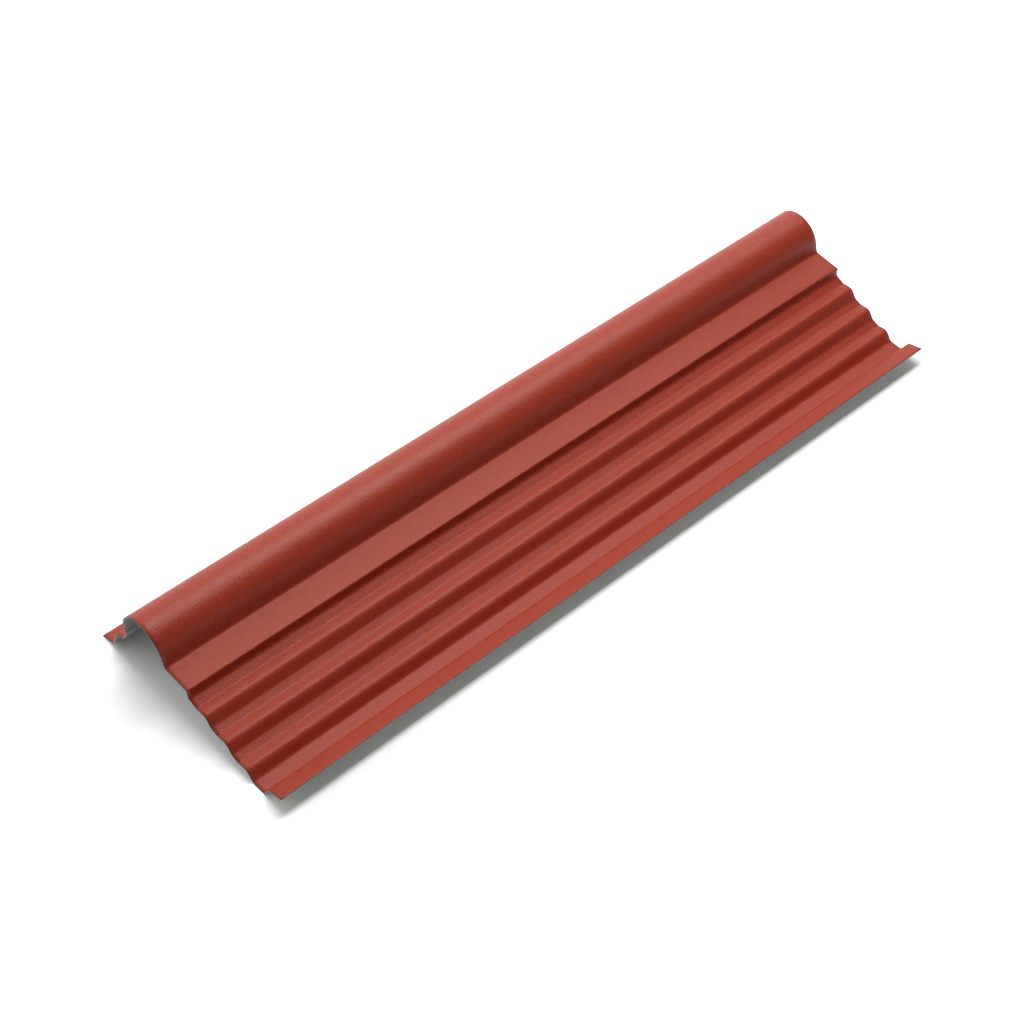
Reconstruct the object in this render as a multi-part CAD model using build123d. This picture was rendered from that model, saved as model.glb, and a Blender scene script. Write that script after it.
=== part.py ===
from build123d import *
from math import atan2, cos, degrees, radians, sin
import os

# Roof hip capping: one length of thin coated steel sheet, rolled and folded along its length.
# The section is drawn with both lips level and then laid on the floor as the piece comes to rest,
# on the bend of its last trough and on the edge of its far lip.
# X runs along the length, the fluted side is towards -Y, Z is up.
# The origin is on the floor, under the middle of the piece.

# Whole piece, in millimetres
LENGTH = 910.0
SHEET = 0.6
LIP = 19.5

# Roll on top: a half round on two straight legs
ROLL_RADIUS = 31.0
NEAR_LEG = 12.2
FAR_LEG = 3.0

# Far side, outwards from the roll
FLARE = 16.0
LEDGE = 14.0
FAR_STEP = 25.0

# Fluted side, outwards from the roll: the flat strip, then the first flute, which starts at a sharp step
STRIP = 34.1
FIRST_STEP = 9.5
FIRST_FLOOR = 11.5
FIRST_RISE = 13.2

# Fluted side: the flutes that are alike, each a steep face, a floor and a gentle rise
LIKE_FLUTES = 2
FACE = 15.4
FLOOR = 8.2
RISE = 11.3

# Fluted side: the last trough and the fold up to the lip
LAST_FLOOR = 13.7
LAST_RISE = 17.0

# Slopes in degrees from level, walking outwards, down is negative
LEG_SLOPE = -90.0
LIP_SLOPE = 0.0
FLARE_SLOPE = -45.0
LEDGE_SLOPE = -7.0
FAR_STEP_SLOPE = -54.0
STRIP_SLOPE = -20.6
FIRST_STEP_SLOPE = -100.0
FIRST_FLOOR_SLOPE = -42.0
FIRST_RISE_SLOPE = -9.8
FACE_SLOPE = -63.5
FLOOR_SLOPE = -29.0
RISE_SLOPE = -8.0
LAST_FLOOR_SLOPE = -15.3
LAST_RISE_SLOPE = 44.0

# Bend radii on the weather face
TIGHT_BEND = 1.5
CREASE_BEND = 3.5
SOFT_BEND = 4.0
CREST_BEND = 8.0
TROUGH_BEND = 16.0

# Sides of the roll's axis
NEAR = -1
FAR = 1

# Turns that bring the two sides to one level
SETTLING_TURNS = 6

# Each leg of a walk outwards: length, slope, and the radius of the bend at its start
far_legs = [
    (FAR_LEG, LEG_SLOPE, 0),
    (FLARE, FLARE_SLOPE, SOFT_BEND),
    (LEDGE, LEDGE_SLOPE, SOFT_BEND),
    (FAR_STEP, FAR_STEP_SLOPE, TIGHT_BEND),
    (LIP, LIP_SLOPE, TIGHT_BEND),
]
first_flute = [
    (FIRST_STEP, FIRST_STEP_SLOPE, TIGHT_BEND),
    (FIRST_FLOOR, FIRST_FLOOR_SLOPE, SOFT_BEND),
    (FIRST_RISE, FIRST_RISE_SLOPE, SOFT_BEND),
]
like_flute = [
    (FACE, FACE_SLOPE, CREST_BEND),
    (FLOOR, FLOOR_SLOPE, TROUGH_BEND),
    (RISE, RISE_SLOPE, TROUGH_BEND),
]
last_trough = [
    (FACE, FACE_SLOPE, CREST_BEND),
    (LAST_FLOOR, LAST_FLOOR_SLOPE, CREST_BEND),
    (LAST_RISE, LAST_RISE_SLOPE, TIGHT_BEND),
    (LIP, LIP_SLOPE, TIGHT_BEND),
]
near_legs = [(NEAR_LEG, LEG_SLOPE, 0), (STRIP, STRIP_SLOPE, CREASE_BEND)] + first_flute
for _ in range(LIKE_FLUTES):
    near_legs += like_flute
near_legs += last_trough


def corners(side, legs):
    """Corner points of a walk outwards from the foot of the half round."""
    points = [(side * ROLL_RADIUS, 0)]
    for length, slope, _ in legs:
        out = side * length * cos(radians(slope))
        up = length * sin(radians(slope))
        points.append((points[-1][0] + out, points[-1][1] + up))
    return points


def folded(side, legs):
    """One side's weather face as a line: straight legs joined by tangent bends."""
    return FilletPolyline(corners(side, legs), radius=[bend for _, _, bend in legs[1:]])


def section():
    """The sheet's section: its weather face, and the thickness inwards from it."""
    with BuildSketch() as sheet:
        with BuildLine():
            folded(FAR, far_legs)
            ThreePointArc((FAR * ROLL_RADIUS, 0), (0, ROLL_RADIUS), (NEAR * ROLL_RADIUS, 0))
            folded(NEAR, near_legs)
            offset(amount=SHEET, side=Side.RIGHT, closed=True)
        make_face()
    return sheet.sketch.face()


def lowest(outline, side):
    """Lowest point of the outline on one side of the roll's axis."""
    half = outline & (Pos(side * LENGTH / 2, 0) * Rectangle(LENGTH, LENGTH))
    level = half.bounding_box().min.Y
    return Vector(half.vertices().sort_by(Axis.Y)[0].X, level)


def at_rest(outline):
    """The outline turned until both sides touch one level, then set down centred on the origin."""
    turned = outline
    for _ in range(SETTLING_TURNS):
        near = lowest(turned, NEAR)
        far = lowest(turned, FAR)
        turned = turned.rotate(Axis.Z, -degrees(atan2(far.Y - near.Y, far.X - near.X)))
    box = turned.bounding_box()
    return Pos(-box.center().X, -box.min.Y) * turned


capping_sheet = extrude(Plane.YZ.offset(-LENGTH / 2) * at_rest(section()), LENGTH)

os.makedirs("parts", exist_ok=True)
export_step(capping_sheet, "parts/capping_sheet.step")
print(capping_sheet.bounding_box(), "girth", capping_sheet.volume / LENGTH / SHEET)
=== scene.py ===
from math import radians

import bpy
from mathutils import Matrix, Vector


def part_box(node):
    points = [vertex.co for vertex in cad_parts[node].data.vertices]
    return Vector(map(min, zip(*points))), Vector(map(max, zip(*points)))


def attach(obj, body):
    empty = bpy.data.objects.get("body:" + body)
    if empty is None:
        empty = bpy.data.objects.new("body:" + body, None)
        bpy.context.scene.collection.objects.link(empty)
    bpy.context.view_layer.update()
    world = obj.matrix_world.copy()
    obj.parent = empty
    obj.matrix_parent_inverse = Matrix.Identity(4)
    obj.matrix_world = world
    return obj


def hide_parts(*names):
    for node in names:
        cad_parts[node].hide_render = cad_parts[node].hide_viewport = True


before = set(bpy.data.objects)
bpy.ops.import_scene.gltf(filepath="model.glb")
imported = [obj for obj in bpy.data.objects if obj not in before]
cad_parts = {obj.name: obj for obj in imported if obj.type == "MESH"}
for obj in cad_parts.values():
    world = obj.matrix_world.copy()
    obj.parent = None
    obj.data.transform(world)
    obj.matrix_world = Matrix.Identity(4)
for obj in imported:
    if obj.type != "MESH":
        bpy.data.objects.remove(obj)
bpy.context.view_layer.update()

# A length of roof capping in thin coated steel sheet: a half-round roll between a short stepped
# side and a wide fluted side. Metres, X along the length, the fluted side towards -Y, Z up.

bl_info = {
    "name": "Roof capping",
    "version": (1, 0, 0),
    "blender": (4, 5, 0),
    "location": "3D View > Sidebar > Capping",
    "description": "Folds a length of coated sheet into a roof capping and sets up its studio",
    "category": "Object",
}

NODE = "capping_sheet"
PIECE = "folded_sheet"
BOX_LOW, BOX_HIGH = [list(corner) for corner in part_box(NODE)]

MM = 0.001

LEVEL, UPRIGHT = 0.0, radians(90.0)

# Bend cuts: points along a fold, and along a quarter of the roll
FOLD_CUTS = 5
ROLL_CUTS = 14
# Radius and cuts where the sheet ends, without a bend
NO_BEND = (0.0, 1)
# Most extra points on one flat
MOST_EXTRA = 20.0
# Points nearer to each other than this are joined, where the weather face meets the rim
JOINED_WITHIN = 0.00001

# Waves: cycles a metre along and across, and an offset that keeps the two kinds apart
EDGE_WAVES = (14.0, 2.0, 0.3)
DISH_WAVES = (22.0, 30.0, 5.7)
WAVE_DETAIL, WAVE_ROUGHNESS = 2.0, 0.4
# How far in from the near and the far edge the edge waves reach
NEAR_REACH, FAR_REACH = 0.026, 0.022
# The burr: its reach from the end, and the distances from its middle where it starts and is full
BURR_REACH = 0.004
BURR_SIDES = (0.0035, 0.0005)

WHITE = (1.0, 1.0, 1.0, 1.0)
# Where the backdrop starts and where it is full, as the +Y part of a direction
BACKDROP = (0.0, 0.6)


def length_value(name, description, millimetres):
    """A size in metres that shows its unit in the panel."""
    return bpy.props.FloatProperty(
        name=name, description=description, default=millimetres * MM, min=0.0,
        subtype="DISTANCE", unit="LENGTH", precision=4)


def angle_value(name, description, degrees):
    """An angle in radians that shows as degrees in the panel."""
    return bpy.props.FloatProperty(
        name=name, description=description, default=radians(degrees),
        subtype="ANGLE", unit="ROTATION", precision=2)


def share_value(name, description, share):
    """A share from nothing to all."""
    return bpy.props.FloatProperty(
        name=name, description=description, default=share, min=0.0, max=1.0, subtype="FACTOR")


def colour_value(name, description, colour):
    """A linear colour."""
    return bpy.props.FloatVectorProperty(
        name=name, description=description, default=colour, min=0.0, max=1.0,
        size=3, subtype="COLOR")


class SheetSizes(bpy.types.PropertyGroup):
    """Sizes of the folded sheet."""
    length: length_value("Length", "Length of the capping", (BOX_HIGH[0] - BOX_LOW[0]) / MM)
    sheet: length_value("Sheet", "Thickness of the coated sheet", 0.6)
    roll: length_value("Roll", "Radius of the half-round roll", 31.0)
    near_leg: length_value("Near leg", "Straight leg of the roll above the flat strip", 12.2)
    far_leg: length_value("Far leg", "Straight leg of the roll on the far side", 3.0)
    flare: length_value("Flare", "Slope outwards below the far leg", 16.0)
    ledge: length_value("Ledge", "Shelf below the flare", 14.0)
    far_step: length_value("Far step", "Steep step down to the far lip", 25.0)
    strip: length_value("Strip", "Flat strip beside the roll", 32.9)
    first_step: length_value("First step", "Sharp step at the strip's edge", 9.95)
    first_floor: length_value("First floor", "Floor of the first flute", 12.3)
    first_rise: length_value("First rise", "Gentle rise out of the first flute", 13.2)
    like_flutes: bpy.props.IntProperty(
        name="Like flutes", description="Number of flutes that are alike", default=2, min=0, max=12)
    face: length_value("Face", "Steep face of a flute", 12.64)
    floor: length_value("Floor", "Floor of a flute", 9.7)
    rise: length_value("Rise", "Gentle rise of a flute", 13.26)
    last_face: length_value("Last face", "Steep face of the last trough", 13.4)
    last_floor: length_value("Last floor", "Floor of the last trough", 16.3)
    last_rise: length_value("Last rise", "Fold up to the near lip", 17.0)
    lip: length_value("Lip", "Turned-out lip along each long edge", 19.5)
    tight: length_value("Tight bend", "Radius of a tight fold", 1.5)
    crease: length_value("Crease", "Radius of the crease between the roll and the strip", 3.5)
    soft: length_value("Soft bend", "Radius of a soft fold", 4.0)
    crest: length_value("Crest", "Radius of a flute's crest", 8.0)
    trough: length_value("Trough", "Radius of a flute's trough", 5.0)
    tilt: angle_value("Tilt", "Turn from level lips to how the piece lies", 14.558)
    across_step: length_value("Across step", "Mesh size across a flat", 4.0)
    along_step: length_value("Along step", "Mesh size along the length", 5.0)
    wave: length_value("Wave", "How far a long edge strays from straight", 0.45)
    dish: length_value("Dish", "How far the flats stray from flat", 0.12)
    burr: length_value("Burr", "How far the burr at the strip's edge stands out", 1.6)
    burr_place: length_value("Burr place", "Where the burr sits across the sheet", 217.7)
    seed: bpy.props.IntProperty(name="Seed", description="Seed of the waves", default=7, min=0)


class FoldHeadings(bpy.types.PropertyGroup):
    """Headings of the legs before the tilt: upwards from level, on the way to the near lip."""
    far_step: angle_value("Far step heading", "Heading of the far step", 54.0)
    ledge: angle_value("Ledge heading", "Heading of the ledge", 7.0)
    flare: angle_value("Flare heading", "Heading of the flare", 45.0)
    strip: angle_value("Strip heading", "Heading of the flat strip", -20.6)
    first_step: angle_value("First step heading", "Heading of the step at the strip", -100.0)
    first_floor: angle_value("First floor heading", "Heading of the first flute's floor", -38.0)
    first_rise: angle_value("First rise heading", "Heading of the first flute's rise", -9.8)
    face: angle_value("Face heading", "Heading of a flute's steep face", -70.5)
    floor: angle_value("Floor heading", "Heading of a flute's floor", -35.0)
    rise: angle_value("Rise heading", "Heading of a flute's rise", -8.0)
    last_face: angle_value("Last face heading", "Heading of the last steep face", -70.5)
    last_floor: angle_value("Last floor heading", "Heading of the last trough's floor", -17.4)
    last_rise: angle_value("Last rise heading", "Heading of the fold up to the near lip", 44.0)


class CoatColours(bpy.types.PropertyGroup):
    """Colours and grain of the sheet's three surfaces."""
    red: colour_value("Red", "Weather coat", (0.420, 0.043, 0.019))
    red_light: colour_value("Light red", "Paler specks of the weather coat", (0.54, 0.080, 0.037))
    red_dark: colour_value("Dark red", "Darker specks of the weather coat", (0.33, 0.028, 0.011))
    # Painted shade: a dark colour laid along the cut edges, standing in for their shadow
    painted_cut_shade: colour_value("Cut_shade", "Weather coat bruised along the cuts", (0.10, 0.055, 0.045))
    grey: colour_value("Grey", "Back coat", (0.52, 0.52, 0.50))
    grey_dark: colour_value("Dark grey", "Streaks in the back coat", (0.41, 0.41, 0.395))
    steel: colour_value("Steel", "Bare steel at the cut edges", (0.46, 0.45, 0.44))
    grain: length_value("Grain", "Size of a grain of the weather coat", 1.4)


class StudioSettings(bpy.types.PropertyGroup):
    """Floor, backdrop, light and camera."""
    floor: length_value("Floor", "Side of the floor", 30000.0)
    floor_pale: share_value("Floor shade", "Shade of the floor for the light it gives back", 0.80)
    floor_shown: bpy.props.FloatProperty(
        name="Floor shown", description="Shade of the floor in the picture",
        default=1.5, min=0.0)
    floor_near: length_value("Floor near", "Where the floor starts to fade to white", 1300.0)
    floor_far: length_value("Floor far", "Where the floor has faded to white", 3200.0)
    floor_mirrored: share_value(
        "Floor mirrored", "How far reflections see the floor as the picture shows it", 0.4)
    behind: share_value("Behind", "Brightness of the white backdrop behind the piece", 1.0)
    before: share_value("Before", "Brightness of the room on the camera's side", 0.13)
    key: bpy.props.FloatProperty(
        name="Key", description="Power of the soft light overhead", default=22.5, min=0.0,
        unit="POWER")
    key_long: length_value("Key length", "Side of the soft light along the piece", 1900.0)
    key_wide: length_value("Key width", "Side of the soft light across the piece", 600.0)
    key_place: bpy.props.FloatVectorProperty(
        name="Key place", description="Where the soft light hangs", size=3,
        default=(0.42, 0.29, 1.75), subtype="XYZ", unit="LENGTH")
    camera_place: bpy.props.FloatVectorProperty(
        name="Camera place", description="Where the camera stands", size=3,
        default=(-0.9989, -1.0390, 1.5470), subtype="XYZ", unit="LENGTH")
    camera_turn: bpy.props.FloatVectorProperty(
        name="Camera turn", description="How the camera is turned", size=3,
        default=(radians(40.831), radians(-4.480), radians(-45.773)),
        subtype="EULER", unit="ROTATION")
    lens: bpy.props.FloatProperty(
        name="Lens", description="Focal length", default=69.758, unit="CAMERA")
    shift_x: bpy.props.FloatProperty(
        name="Shift X", description="Picture shift across", default=-0.1870)
    shift_y: bpy.props.FloatProperty(
        name="Shift Y", description="Picture shift up", default=0.0532)


# Node trees

class Tree:
    """A node tree with short calls for adding and joining nodes."""

    def __init__(self, tree):
        self.tree = tree

    def add(self, kind, *values, **settings):
        """Adds a node, sets its settings, and sets or joins its inputs in their order."""
        made = self.tree.nodes.new(kind)
        for name, value in settings.items():
            setattr(made, name, value)
        sockets = [socket for socket in made.inputs if socket.enabled]
        for socket, value in zip(sockets, values):
            self.put(socket, value)
        return made

    def put(self, socket, value):
        """Sets an input to a value, or joins it to an output."""
        if value is None:
            return
        if isinstance(value, bpy.types.Node):
            value = next(output for output in value.outputs if output.enabled)
        if isinstance(value, bpy.types.NodeSocket):
            self.tree.links.new(value, socket)
        else:
            socket.default_value = value

    def set(self, node, **values):
        """Sets or joins a node's inputs by name, with _ for a space."""
        for name, value in values.items():
            self.put(node.inputs[name.replace("_", " ")], value)
        return node

    def math(self, operation, *values):
        """A Math node's result."""
        return self.add("ShaderNodeMath", *values, operation=operation).outputs[0]

    def vector(self, operation, *values):
        """A Vector Math node's result, a vector or a number."""
        made = self.add("ShaderNodeVectorMath", *values, operation=operation)
        return next(output for output in made.outputs if output.enabled)

    def ramp(self, value, low, high, to_low=0.0, to_high=1.0, smooth=True):
        """A Map Range node's result."""
        kind = "SMOOTHSTEP" if smooth else "LINEAR"
        made = self.add("ShaderNodeMapRange", interpolation_type=kind)
        self.set(made, Value=value, From_Min=low, From_Max=high, To_Min=to_low, To_Max=to_high)
        return made.outputs[0]

    def xyz(self, x, y, z):
        """A vector of three numbers."""
        return self.add("ShaderNodeCombineXYZ", x, y, z).outputs[0]

    def noise(self, place, scale, detail, roughness):
        """A noise pattern's value, about a half on average."""
        made = self.add("ShaderNodeTexNoise", noise_dimensions="3D")
        self.set(made, Vector=place, Scale=scale, Detail=detail, Roughness=roughness)
        return made.outputs[0]


# The folded sheet

def fold_table(sizes, headings):
    """Legs from the far lip over the roll to the near lip: length, heading, bend at its end."""
    tight, crease, soft, crest, trough = [
        (radius, FOLD_CUTS) for radius in
        (sizes.tight, sizes.crease, sizes.soft, sizes.crest, sizes.trough)]
    roll = (sizes.roll, ROLL_CUTS)
    legs = [
        (sizes.lip, LEVEL, tight),
        (sizes.far_step, headings.far_step, tight),
        (sizes.ledge, headings.ledge, soft),
        (sizes.flare, headings.flare, soft),
        (sizes.far_leg + sizes.roll, UPRIGHT, roll),
        (2 * sizes.roll, LEVEL, roll),
        (sizes.roll + sizes.near_leg, -UPRIGHT, crease),
        (sizes.strip, headings.strip, tight),
        (sizes.first_step, headings.first_step, soft),
        (sizes.first_floor, headings.first_floor, soft),
        (sizes.first_rise, headings.first_rise, crest),
    ]
    for _ in range(sizes.like_flutes):
        legs += [
            (sizes.face, headings.face, trough),
            (sizes.floor, headings.floor, trough),
            (sizes.rise, headings.rise, crest),
        ]
    legs += [
        (sizes.last_face, headings.last_face, trough),
        (sizes.last_floor, headings.last_floor, tight),
        (sizes.last_rise, headings.last_rise, tight),
        (sizes.lip, LEVEL, NO_BEND),
    ]
    return legs


def fold_line(sizes, headings):
    """A line of points, one at each corner of the section, that carries the fold table."""
    legs = [(0.0, LEVEL, NO_BEND)] + fold_table(sizes, headings)
    links = [(index, index + 1) for index in range(len(legs) - 1)]
    mesh = bpy.data.meshes.new("fold_line")
    mesh.from_pydata([(0.0, 0.0, 0.0)] * len(legs), links, [])
    columns = {
        "leg": [leg for leg, _, _ in legs],
        "heading": [heading for _, heading, _ in legs],
        "bend": [radius for _, _, (radius, _) in legs],
        "cuts": [float(cuts) for _, _, (_, cuts) in legs],
    }
    for name, values in columns.items():
        mesh.attributes.new(name, "FLOAT", "POINT").data.foreach_set("value", values)
    return mesh


def folding_tree():
    """Geometry nodes that walk the fold table, bend it, run it along the length and thicken it."""
    group = bpy.data.node_groups.new("fold_sheet", "GeometryNodeTree")
    face = group.interface
    face.new_socket("Geometry", in_out="INPUT", socket_type="NodeSocketGeometry")
    for name in ("Length", "Sheet", "Tilt", "Across step", "Along step",
                 "Wave", "Dish", "Burr", "Burr place", "Seed"):
        face.new_socket(name, in_out="INPUT", socket_type="NodeSocketFloat")
    for name in ("Box low", "Box high"):
        face.new_socket(name, in_out="INPUT", socket_type="NodeSocketVector")
    for name in ("Weather coat", "Back coat", "Cut edge"):
        face.new_socket(name, in_out="INPUT", socket_type="NodeSocketMaterial")
    face.new_socket("Geometry", in_out="OUTPUT", socket_type="NodeSocketGeometry")
    tree = Tree(group)
    given = tree.add("NodeGroupInput").outputs

    def column(name):
        return tree.add("GeometryNodeInputNamedAttribute", name, data_type="FLOAT").outputs[0]

    def stored(geometry, name, value, kind="FLOAT", domain="POINT"):
        made = tree.add("GeometryNodeStoreNamedAttribute", data_type=kind, domain=domain)
        tree.set(made, Geometry=geometry, Name=name, Value=value)
        return made.outputs[0]

    # Corners of the section: each leg is a step towards -Y at its heading
    nearwards = tree.math("MULTIPLY", column("leg"), -1.0)
    nearwards = tree.math("MULTIPLY", tree.math("COSINE", column("heading")), nearwards)
    up = tree.math("MULTIPLY", tree.math("SINE", column("heading")), column("leg"))
    step = tree.xyz(0.0, nearwards, up)
    walked = tree.add("GeometryNodeAccumulateField", step, data_type="FLOAT_VECTOR").outputs[0]
    corners = tree.add("GeometryNodeSetPosition", given["Geometry"], None, walked).outputs[0]
    line = tree.add("GeometryNodeMeshToCurve", corners).outputs[0]
    turned = tree.add("GeometryNodeTransform", line)
    tree.set(turned, Rotation=tree.xyz(tree.math("MULTIPLY", given["Tilt"], -1.0), 0.0, 0.0))

    # Bends, then extra points on the flats
    bent = tree.add("GeometryNodeFilletCurve", mode="POLY")
    tree.set(bent, Curve=turned, Count=column("cuts"), Radius=column("bend"), Limit_Radius=True)
    place = tree.add("GeometryNodeInputPosition").outputs[0]
    index = tree.add("GeometryNodeInputIndex").outputs[0]
    following = tree.add("GeometryNodeFieldAtIndex", data_type="FLOAT_VECTOR", domain="POINT")
    tree.set(following, Value=place, Index=tree.math("ADD", index, 1.0))
    flat = tree.vector("DISTANCE", place, following.outputs[0])
    extra = tree.math("FLOOR", tree.math("DIVIDE", flat, given["Across step"]))
    extra = tree.math("MINIMUM", extra, MOST_EXTRA)
    section = tree.add("GeometryNodeSubdivideCurve", bent, extra).outputs[0]

    # A grid of stations along the length, each a copy of the section
    counted = tree.add("GeometryNodeAttributeDomainSize", section, component="CURVE")
    across_count = counted.outputs["Point Count"]
    along_count = tree.math("CEIL", tree.math("DIVIDE", given["Length"], given["Along step"]))
    grid = tree.add("GeometryNodeMeshGrid", given["Length"], 1.0, along_count, across_count)
    station = tree.math("FLOOR", tree.math("DIVIDE", tree.math("ADD", index, 0.5), across_count))
    position = tree.math("SUBTRACT", index, tree.math("MULTIPLY", station, across_count))
    position = tree.math("SUBTRACT", tree.math("SUBTRACT", across_count, 1.0), position)
    found = tree.add("GeometryNodeSampleIndex", data_type="FLOAT_VECTOR")
    tree.set(found, Geometry=section, Value=place, Index=position)
    along = tree.add("ShaderNodeSeparateXYZ", place).outputs["X"]
    sheet_point = tree.vector("ADD", found.outputs[0], tree.xyz(along, 0.0, 0.0))
    spline = tree.add("GeometryNodeSplineParameter").outputs["Length"]
    walked_across = tree.add("GeometryNodeSampleIndex", data_type="FLOAT")
    tree.set(walked_across, Geometry=section, Value=spline, Index=position)
    sheet = stored(grid.outputs[0], "across", walked_across.outputs[0])
    sheet = tree.add("GeometryNodeSetPosition", sheet, None, sheet_point).outputs[0]

    # Moved so that the roll's top and the far lip's edge meet the measured box
    boxed = tree.add("GeometryNodeBoundBox", sheet).outputs["Max"]
    gap = tree.add("ShaderNodeSeparateXYZ", tree.vector("SUBTRACT", given["Box high"], boxed))
    shift = tree.xyz(0.0, gap.outputs["Y"], gap.outputs["Z"])
    sheet = tree.add("GeometryNodeSetPosition", sheet, None, None, shift).outputs[0]

    # Distance from the nearest cut edge
    across = column("across")
    girth = tree.add("GeometryNodeAttributeStatistic", data_type="FLOAT")
    tree.set(girth, Geometry=sheet, Attribute=across)
    far_edge, near_edge = across, tree.math("SUBTRACT", girth.outputs["Max"], across)
    half_length = tree.math("MULTIPLY", given["Length"], 0.5)
    to_end = tree.math("SUBTRACT", half_length, tree.math("ABSOLUTE", along))
    to_cut = tree.math("MINIMUM", tree.math("MINIMUM", far_edge, near_edge), to_end)
    sheet = stored(sheet, "to_cut", to_cut)

    # Slight waves: long ones that grow towards both long edges, and dished flats. The far edge
    # lies on the floor, so its waves only lift it.
    def waves(cycles_along, cycles_across, offset):
        spot = tree.xyz(tree.math("MULTIPLY", along, cycles_along),
                        tree.math("MULTIPLY", across, cycles_across),
                        tree.math("ADD", given["Seed"], offset))
        pattern = tree.noise(spot, 1.0, WAVE_DETAIL, WAVE_ROUGHNESS)
        return tree.math("SUBTRACT", tree.math("MULTIPLY", pattern, 2.0), 1.0)

    near_share = tree.ramp(near_edge, NEAR_REACH, 0.0)
    far_share = tree.ramp(far_edge, FAR_REACH, 0.0)
    edge_wave = tree.math("MULTIPLY", given["Wave"], waves(*EDGE_WAVES))
    near_rise = tree.math("MULTIPLY", edge_wave, near_share)
    far_rise = tree.math("MULTIPLY", tree.math("ABSOLUTE", edge_wave), far_share)
    dish = tree.math("MULTIPLY", given["Dish"], waves(*DISH_WAVES))
    normal = tree.add("GeometryNodeInputNormal").outputs[0]
    lift = tree.vector("SCALE", normal, None)
    tree.put(lift.node.inputs["Scale"], tree.math("ADD", dish, near_rise))
    lift = tree.vector("ADD", lift, tree.xyz(0.0, 0.0, far_rise))

    # A burr that the shears left at one end of the strip's edge
    to_last = tree.ramp(tree.math("SUBTRACT", half_length, along), BURR_REACH, 0.0)
    beside = tree.math("ABSOLUTE", tree.math("SUBTRACT", across, given["Burr place"]))
    burr = tree.math("MULTIPLY", to_last, tree.ramp(beside, *BURR_SIDES))
    burr = tree.math("MULTIPLY", tree.math("MULTIPLY", burr, given["Burr"]), -1.0)
    lift = tree.vector("ADD", lift, tree.xyz(0.0, burr, 0.0))
    sheet = tree.add("GeometryNodeSetPosition", sheet, None, None, lift).outputs[0]

    # Thickness inwards from the weather face
    weather = stored(sheet, "weather", 1.0, domain="FACE")
    inwards = tree.math("MULTIPLY", given["Sheet"], -1.0)
    thick = tree.add("GeometryNodeExtrudeMesh", mode="FACES")
    tree.set(thick, Mesh=sheet, Offset=normal, Offset_Scale=inwards, Individual=False)
    back_side = stored(thick.outputs["Mesh"], "rim", thick.outputs["Side"], "BOOLEAN", "FACE")
    back_side = tree.add("GeometryNodeFlipFaces", back_side).outputs[0]
    joined = tree.add("GeometryNodeJoinGeometry")
    for part in (weather, back_side):
        group.links.new(part, joined.inputs[0])
    whole = tree.add("GeometryNodeMergeByDistance", joined, None, JOINED_WITHIN).outputs[0]

    # Everything stays inside the measured box
    kept = tree.vector("MAXIMUM", place, given["Box low"])
    kept = tree.vector("MINIMUM", kept, given["Box high"])
    whole = tree.add("GeometryNodeSetPosition", whole, None, kept).outputs[0]
    rim = tree.add("GeometryNodeInputNamedAttribute", "rim", data_type="BOOLEAN").outputs[0]
    not_rim = tree.add("FunctionNodeBooleanMath", rim, operation="NOT").outputs[0]
    smooth = tree.add("GeometryNodeSetShadeSmooth", domain="FACE")
    tree.set(smooth, Geometry=whole, Shade_Smooth=not_rim)

    whole = tree.add("GeometryNodeRealizeInstances", smooth).outputs[0]
    whole = tree.add("GeometryNodeSetMaterial", whole, None, given["Back coat"]).outputs[0]
    on_top = tree.math("GREATER_THAN", column("weather"), 0.5)
    whole = tree.add("GeometryNodeSetMaterial", whole, on_top, given["Weather coat"]).outputs[0]
    whole = tree.add("GeometryNodeSetMaterial", whole, rim, given["Cut edge"]).outputs[0]
    tree.put(tree.add("NodeGroupOutput").inputs[0], whole)
    return group


def folded_mesh(tree, base, values):
    """The tree's result on a base mesh, as a plain mesh."""
    holder = bpy.data.objects.new("fold_holder", base)
    bpy.context.collection.objects.link(holder)
    folding = holder.modifiers.new("folding", "NODES")
    folding.node_group = tree
    for item in tree.interface.items_tree:
        if item.item_type == "SOCKET" and item.in_out == "INPUT" and item.name in values:
            folding[item.identifier] = values[item.name]
    graph = bpy.context.evaluated_depsgraph_get()
    mesh = bpy.data.meshes.new_from_object(
        holder.evaluated_get(graph), preserve_all_data_layers=True, depsgraph=graph)
    holder.modifiers.clear()
    bpy.data.objects.remove(holder)
    if not mesh.polygons:
        raise RuntimeError("the folding tree made no faces")
    if mesh.materials[0] is None:
        mesh.materials.pop(index=0)
    return mesh


# Coats

# Patterns: cycles a metre, detail and roughness. The grain's cycles come from its size, and the
# streak's place is stretched instead.
GRAIN_DETAIL, GRAIN_ROUGHNESS = 3.0, 0.65
CLOUD = (16.0, 3.0, 0.55)
STREAK = (1.0, 4.0, 0.6)
STREAK_STRETCH = (3.0, 160.0, 160.0)
BACK_CLOUD = (12.0, 3.0, 0.6)
GRIT = (900.0, 2.0, 0.5)
TORN = (700.0, 3.0, 0.7)

# Ramps: the values where a change starts and is full, then what it changes from and to
PALE_SPECKS = (0.52, 0.74)
DARK_SPECKS = (0.46, 0.28)
CLOUDING = (0.35, 0.75, 0.0, 0.16)
COAT_ROUGHNESS = (0.3, 0.7, 0.26, 0.38)
STREAKING = (0.40, 0.66)
BACK_CLOUDING = (0.45, 0.8, 0.0, 0.3)
BACK_ROUGHNESS = (0.3, 0.7, 0.38, 0.52)
TEARING = (0.35, 0.7)
STEEL_ROUGHNESS = (0.3, 0.7, 0.35, 0.6)

# The painted shade along the cut edges: its distances from the cut, and its share of the shade
# colour
CUT_SHADE = (0.0014, 0.0004)
CUT_SHADE_SHARE = 0.85
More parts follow.
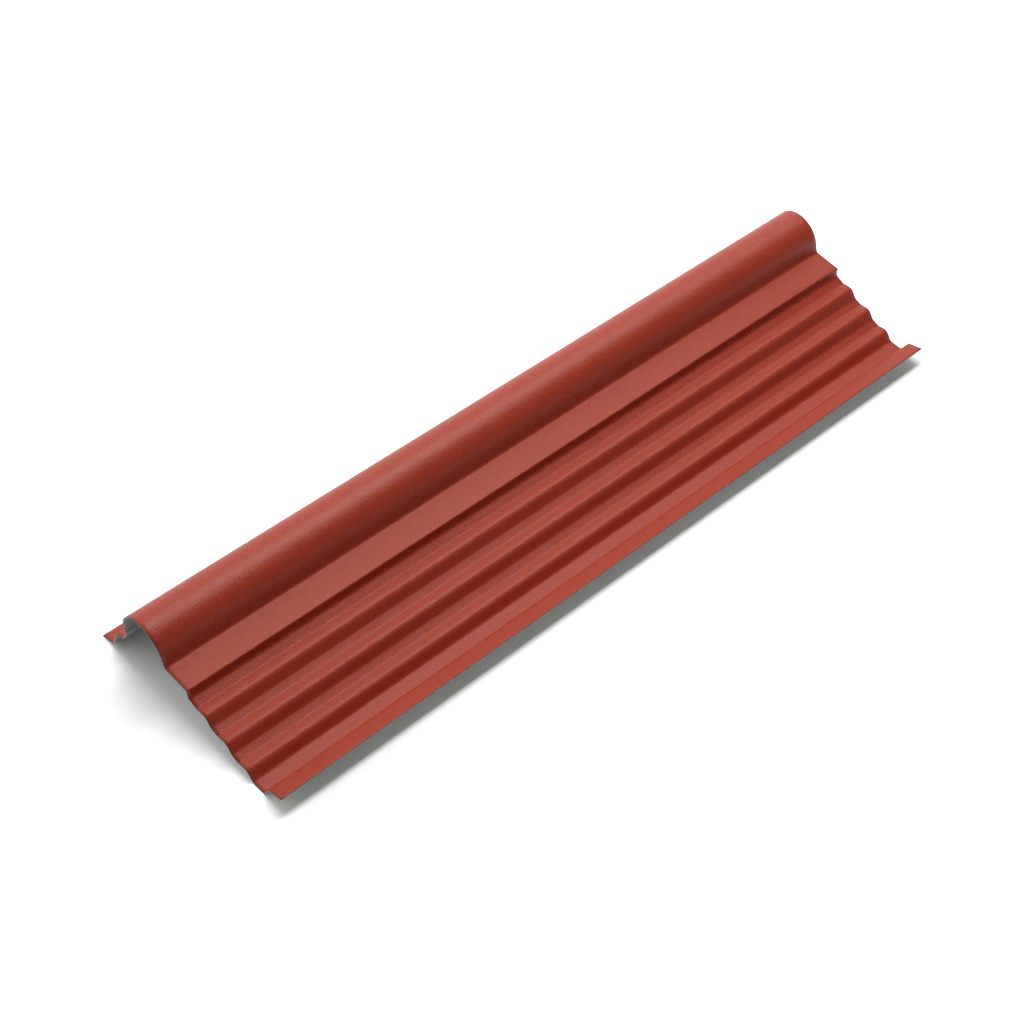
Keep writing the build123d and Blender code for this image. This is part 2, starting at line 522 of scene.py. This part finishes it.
# Where the glossier roll starts and ends across the sheet, and its gloss beside that of the flats
ROLL_START = (0.070, 0.080)
ROLL_END = (0.190, 0.178)
ROLL_GLOSS = (0.0, 1.0, 0.36, 0.47)
COAT_SHEEN = (1.0, 0.95, 0.87, 1.0)
BACK_GLOSS = 0.4
STEEL_METAL = 0.85
TORN_SHADE = 0.55

# Bumps: depth in metres and strength
COAT_BUMP = (0.0005, 0.9)
BACK_BUMP = (0.00004, 0.5)
STEEL_BUMP = (0.00008, 0.6)


def new_material(name):
    """A material with an empty tree, its surface shader and its object coordinates."""
    material = bpy.data.materials.new(name)
    material.use_nodes = True
    tree = Tree(material.node_tree)
    material.node_tree.nodes.clear()
    shader = tree.add("ShaderNodeBsdfPrincipled")
    output = tree.add("ShaderNodeOutputMaterial")
    tree.put(output.inputs["Surface"], shader.outputs[0])
    place = tree.add("ShaderNodeTexCoord").outputs["Object"]
    return material, tree, shader, place


def blended(tree, share, first, second):
    """Two colours mixed."""
    made = tree.add("ShaderNodeMix", data_type="RGBA")
    tree.put(made.inputs["Factor"], share)
    for socket, value in zip([s for s in made.inputs if s.enabled][1:], (first, second)):
        tree.put(socket, (*value, 1.0) if isinstance(value, tuple) else value)
    return next(output for output in made.outputs if output.enabled)


def stored_value(tree, name):
    """A value that the piece carries."""
    return tree.add("ShaderNodeAttribute", attribute_name=name).outputs["Fac"]


def bump(tree, height, distance, strength):
    """A bump from a height pattern."""
    made = tree.add("ShaderNodeBump")
    tree.set(made, Height=height, Distance=distance, Strength=strength)
    return made.outputs[0]


def weather_coat(colours):
    """Brick-red coat with a fine grain, glossier on the roll, with painted shade along the cuts."""
    material, tree, shader, place = new_material("weather_coat")
    red, light, dark = (
        tuple(value) for value in (colours.red, colours.red_light, colours.red_dark))
    grain = tree.noise(place, 1.0 / colours.grain, GRAIN_DETAIL, GRAIN_ROUGHNESS)
    colour = blended(tree, tree.ramp(grain, *PALE_SPECKS), red, light)
    colour = blended(tree, tree.ramp(grain, *DARK_SPECKS), colour, dark)
    clouded = tree.ramp(tree.noise(place, *CLOUD), *CLOUDING)
    colour = blended(tree, clouded, colour, dark)
    # Painted shade: the coat is darkened in a thin band along each cut edge, standing in for its
    # shadow
    shaded = tree.math("MULTIPLY", tree.ramp(stored_value(tree, "to_cut"), *CUT_SHADE), CUT_SHADE_SHARE)
    colour = blended(tree, shaded, colour, tuple(colours.painted_cut_shade))
    across = stored_value(tree, "across")
    on_roll = tree.math("MULTIPLY", tree.ramp(across, *ROLL_START), tree.ramp(across, *ROLL_END))
    tree.set(shader, Base_Color=colour, Specular_Tint=COAT_SHEEN)
    tree.set(shader, Specular_IOR_Level=tree.ramp(on_roll, *ROLL_GLOSS))
    tree.set(shader, Roughness=tree.ramp(grain, *COAT_ROUGHNESS))
    tree.set(shader, Normal=bump(tree, grain, *COAT_BUMP))
    return material


def back_coat(colours):
    """Thin grey back coat, streaked along the length by the rollers."""
    material, tree, shader, place = new_material("back_coat")
    grey, dark = tuple(colours.grey), tuple(colours.grey_dark)
    drawn = tree.add("ShaderNodeMapping")
    tree.set(drawn, Vector=place, Scale=STREAK_STRETCH)
    streak = tree.noise(drawn, *STREAK)
    colour = blended(tree, tree.ramp(streak, *STREAKING), grey, dark)
    clouded = tree.ramp(tree.noise(place, *BACK_CLOUD), *BACK_CLOUDING)
    colour = blended(tree, clouded, colour, dark)
    tree.set(shader, Base_Color=colour, Specular_IOR_Level=BACK_GLOSS)
    tree.set(shader, Roughness=tree.ramp(streak, *BACK_ROUGHNESS))
    tree.set(shader, Normal=bump(tree, tree.noise(place, *GRIT), *BACK_BUMP))
    return material


def cut_steel(colours):
    """Bare steel at the cut edges."""
    material, tree, shader, place = new_material("cut_steel")
    steel = tuple(colours.steel)
    torn = tree.noise(place, *TORN)
    dark = tuple(TORN_SHADE * value for value in steel)
    tree.set(shader, Base_Color=blended(tree, tree.ramp(torn, *TEARING), steel, dark))
    tree.set(shader, Metallic=STEEL_METAL, Roughness=tree.ramp(torn, *STEEL_ROUGHNESS))
    tree.set(shader, Normal=bump(tree, torn, *STEEL_BUMP))
    return material


class CAPPING_OT_sheet(bpy.types.Operator):
    """Folds the coated sheet and gives it its coats"""
    bl_idname = "capping.sheet"
    bl_label = "Fold the sheet"

    def execute(self, context):
        scene = context.scene
        sizes, colours = scene.capping_sizes, scene.capping_colours
        mesh = folded_mesh(folding_tree(), fold_line(sizes, scene.capping_headings), {
            "Length": sizes.length,
            "Sheet": sizes.sheet,
            "Tilt": sizes.tilt,
            "Across step": sizes.across_step,
            "Along step": sizes.along_step,
            "Wave": sizes.wave,
            "Dish": sizes.dish,
            "Burr": sizes.burr,
            "Burr place": sizes.burr_place,
            "Seed": float(sizes.seed),
            "Box low": BOX_LOW,
            "Box high": BOX_HIGH,
            "Weather coat": weather_coat(colours),
            "Back coat": back_coat(colours),
            "Cut edge": cut_steel(colours),
        })
        piece = bpy.data.objects.new(PIECE, mesh)
        context.collection.objects.link(piece)
        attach(piece, "root")
        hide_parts(NODE)
        return {"FINISHED"}


# The stage

def floor_material(settings):
    """A pale floor that shows white in the picture, keeps the shadow and fades to white far off."""
    material = bpy.data.materials.new("pale_floor")
    material.use_nodes = True
    material.node_tree.nodes.clear()
    tree = Tree(material.node_tree)
    path = tree.add("ShaderNodeLightPath").outputs
    seen = tree.math("MAXIMUM", path["Is Camera Ray"], path["Is Transmission Ray"])
    mirrored = tree.math("MULTIPLY", path["Is Glossy Ray"], settings.floor_mirrored)
    seen = tree.math("MAXIMUM", seen, mirrored)
    shade = tree.add("ShaderNodeMix", seen, settings.floor_pale, settings.floor_shown,
                     data_type="FLOAT")
    matte = tree.add("ShaderNodeBsdfDiffuse", shade)
    away = tree.vector("LENGTH", tree.add("ShaderNodeTexCoord").outputs["Object"])
    faded = tree.math("MULTIPLY", tree.ramp(away, settings.floor_near, settings.floor_far), seen)
    glow = tree.add("ShaderNodeEmission", WHITE, faded)
    both = tree.add("ShaderNodeAddShader", matte, glow)
    tree.put(tree.add("ShaderNodeOutputMaterial").inputs["Surface"], both)
    return material


def studio_world(settings):
    """A white backdrop behind the piece, and a dark room on the camera's side."""
    world = bpy.data.worlds.new("studio")
    world.use_nodes = True
    world.node_tree.nodes.clear()
    tree = Tree(world.node_tree)
    path = tree.add("ShaderNodeLightPath").outputs
    shown = tree.math("MAXIMUM", path["Is Camera Ray"], path["Is Transmission Ray"])
    direction = tree.add("ShaderNodeTexCoord").outputs["Generated"]
    towards = tree.add("ShaderNodeSeparateXYZ", direction).outputs["Y"]
    hung = tree.ramp(towards, *BACKDROP)
    shown = tree.math("MAXIMUM", shown, tree.math("MULTIPLY", path["Is Glossy Ray"], hung))
    room = tree.ramp(hung, 0.0, 1.0, settings.before, settings.behind, smooth=False)
    strength = tree.add("ShaderNodeMix", shown, room, 1.0, data_type="FLOAT")
    backdrop = tree.add("ShaderNodeBackground", WHITE, strength)
    tree.put(tree.add("ShaderNodeOutputWorld").inputs["Surface"], backdrop)
    return world


class CAPPING_OT_stage(bpy.types.Operator):
    """Sets up the floor, the backdrop, the light and the camera"""
    bl_idname = "capping.stage"
    bl_label = "Set the stage"

    def execute(self, context):
        scene, settings = context.scene, context.scene.capping_studio
        half = settings.floor / 2
        mesh = bpy.data.meshes.new("floor")
        corners = [(-half, -half, 0), (half, -half, 0), (half, half, 0), (-half, half, 0)]
        mesh.from_pydata(corners, [], [(0, 1, 2, 3)])
        mesh.materials.append(floor_material(settings))
        floor = bpy.data.objects.new("floor", mesh)
        scene.collection.objects.link(floor)

        scene.world = studio_world(settings)

        light = bpy.data.lights.new("key", "AREA")
        light.shape = "RECTANGLE"
        light.size, light.size_y = settings.key_long, settings.key_wide
        light.energy = settings.key
        key = bpy.data.objects.new("key", light)
        key.location = settings.key_place
        scene.collection.objects.link(key)

        lens = bpy.data.cameras.new("camera")
        lens.lens, lens.shift_x, lens.shift_y = settings.lens, settings.shift_x, settings.shift_y
        camera = bpy.data.objects.new("camera", lens)
        camera.location = settings.camera_place
        camera.rotation_euler = settings.camera_turn
        scene.collection.objects.link(camera)
        scene.camera = camera
        scene.view_settings.view_transform = "Standard"
        return {"FINISHED"}


class CAPPING_PT_panel(bpy.types.Panel):
    """Lists the steps and their values"""
    bl_idname = "CAPPING_PT_panel"
    bl_label = "Roof capping"
    bl_space_type = "VIEW_3D"
    bl_region_type = "UI"
    bl_category = "Capping"

    def draw(self, context):
        for operator, settings in STEPS:
            box = self.layout.box()
            box.operator(operator)
            for name in settings:
                group = getattr(context.scene, name)
                for value in group.bl_rna.properties.keys():
                    if value not in ("rna_type", "name"):
                        box.prop(group, value)


STEPS = (
    ("capping.sheet", ("capping_sizes", "capping_headings", "capping_colours")),
    ("capping.stage", ("capping_studio",)),
)
GROUPS = {
    "capping_sizes": SheetSizes,
    "capping_headings": FoldHeadings,
    "capping_colours": CoatColours,
    "capping_studio": StudioSettings,
}
CLASSES = (*GROUPS.values(), CAPPING_OT_sheet, CAPPING_OT_stage, CAPPING_PT_panel)


def register():
    """Adds the classes and the scene's values."""
    for entry in CLASSES:
        bpy.utils.register_class(entry)
    for name, group in GROUPS.items():
        setattr(bpy.types.Scene, name, bpy.props.PointerProperty(type=group))


def unregister():
    """Takes the scene's values and the classes away."""
    for name in GROUPS:
        delattr(bpy.types.Scene, name)
    for entry in reversed(CLASSES):
        bpy.utils.unregister_class(entry)


def main():
    """Makes the piece and its stage."""
    register()
    bpy.ops.capping.sheet()
    bpy.ops.capping.stage()


if __name__ == "__main__":
    main()
